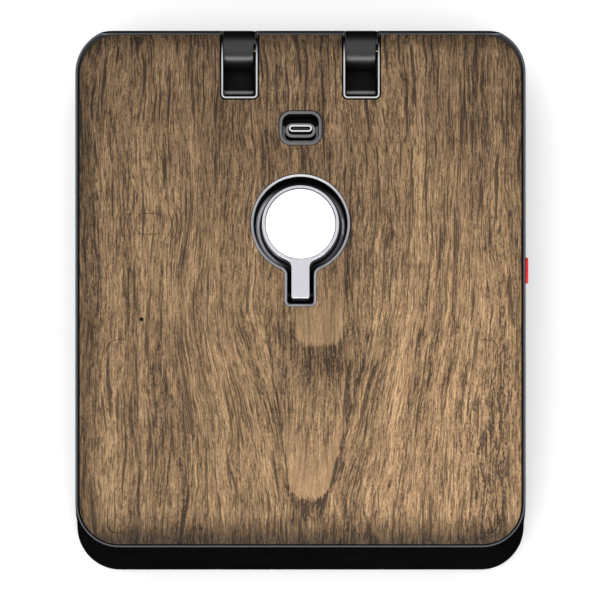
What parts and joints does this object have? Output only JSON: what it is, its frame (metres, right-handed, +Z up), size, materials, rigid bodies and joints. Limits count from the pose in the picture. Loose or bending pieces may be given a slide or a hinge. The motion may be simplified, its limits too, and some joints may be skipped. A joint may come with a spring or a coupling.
{
  "type": "desktop charging box",
  "caption": "Flat desktop charging box: walnut-faced hinged lid with wireless charging zones, upright USB-C plug and flip-up watch charger over a felt-lined storage base.",
  "frame": {"origin": "centre of the case's footprint, on the desk", "axes": "+X right, +Y towards the hinges, +Z up"},
  "size_m": [0.1649, 0.1888, 0.0441],
  "materials": {
    "black_anodised": "satin black anodised",
    "bright_aluminium": "bead-blasted silver with polished cut edges",
    "walnut": "open-pore oiled walnut",
    "brass": "turned",
    "steel": "bright nickel-plated",
    "white_polymer": "white, soft gloss",
    "grey_polymer": "fine matt grey",
    "black_polymer": "fine matt black",
    "red_polymer": "red, satin",
    "clear_polymer": "clear",
    "rubber": "matt black",
    "felt": "charcoal needled felt",
    "circuit_board": "green solder mask",
    "copper": "enamelled litz wire",
    "ferrite": "dark sintered ferrite"
  },
  "bodies": {
    "base": {"base_shell": "black_anodised", "bottom_plate": "black_polymer", "bottom_screw_front_left": "steel", "bottom_screw_front_right": "steel", "bottom_screw_rear_left": "steel", "bottom_screw_rear_right": "steel", "foot_front_left": "rubber", "foot_front_right": "rubber", "foot_rear_left": "rubber", "foot_rear_right": "rubber", "felt_liner": "felt", "ballast_plate": "steel", "power_board": "circuit_board", "power_inlet": "steel", "base_lead": "black_polymer", "base_magnet_left": "steel", "base_magnet_right": "steel", "lid_bumper_left": "rubber", "lid_bumper_right": "rubber", "hinge_arm_left": "black_anodised", "hinge_arm_right": "black_anodised", "arm_screw_left_front": "steel", "arm_screw_left_rear": "steel", "arm_screw_right_front": "steel", "arm_screw_right_rear": "steel"},
    "lid": {"lid_frame": "black_anodised", "wood_panel": "walnut", "notch_trim_left": "bright_aluminium", "notch_trim_right": "bright_aluminium", "hinge_pin_left": "brass", "hinge_pin_right": "brass", "lid_cover": "black_polymer", "cover_screw_front_left": "steel", "cover_screw_front_right": "steel", "cover_screw_rear_left": "steel", "cover_screw_rear_right": "steel", "lid_magnet_left": "steel", "lid_magnet_right": "steel", "usb_well": "grey_polymer", "usb_boot": "grey_polymer", "usb_shell": "steel", "usb_contacts": "brass", "keyhole_well": "bright_aluminium", "flip_pin": "steel", "lid_board": "circuit_board", "phone_ferrite": "ferrite", "phone_coil": "copper", "earbud_ferrite": "ferrite", "earbud_coil": "copper", "button_switch": "black_polymer", "light_pipe": "clear_polymer", "lid_lead": "black_polymer"},
    "watch_charger": {"watch_arm": "bright_aluminium", "watch_disc": "white_polymer", "watch_coil": "copper", "watch_magnet": "steel"},
    "button": {"side_button": "red_polymer"}
  },
  "joints": [
    {"name": "lid_open", "type": "hinge", "parent": "base", "child": "lid", "pos_m": [0, 0.08735, 0.0366], "axis": [-1, 0, 0], "range_deg": [0, 110]},
    {"name": "watch_flip", "type": "hinge", "parent": "lid", "child": "watch_charger", "pos_m": [0, -0.0026, 0.0414], "axis": [1, 0, 0], "range_deg": [0, 90]},
    {"name": "button_press", "type": "slide", "parent": "lid", "child": "button", "axis": [-1, 0, 0], "range_m": [0, 0.0006], "stiffness_N_per_m": 2000}
  ]
}
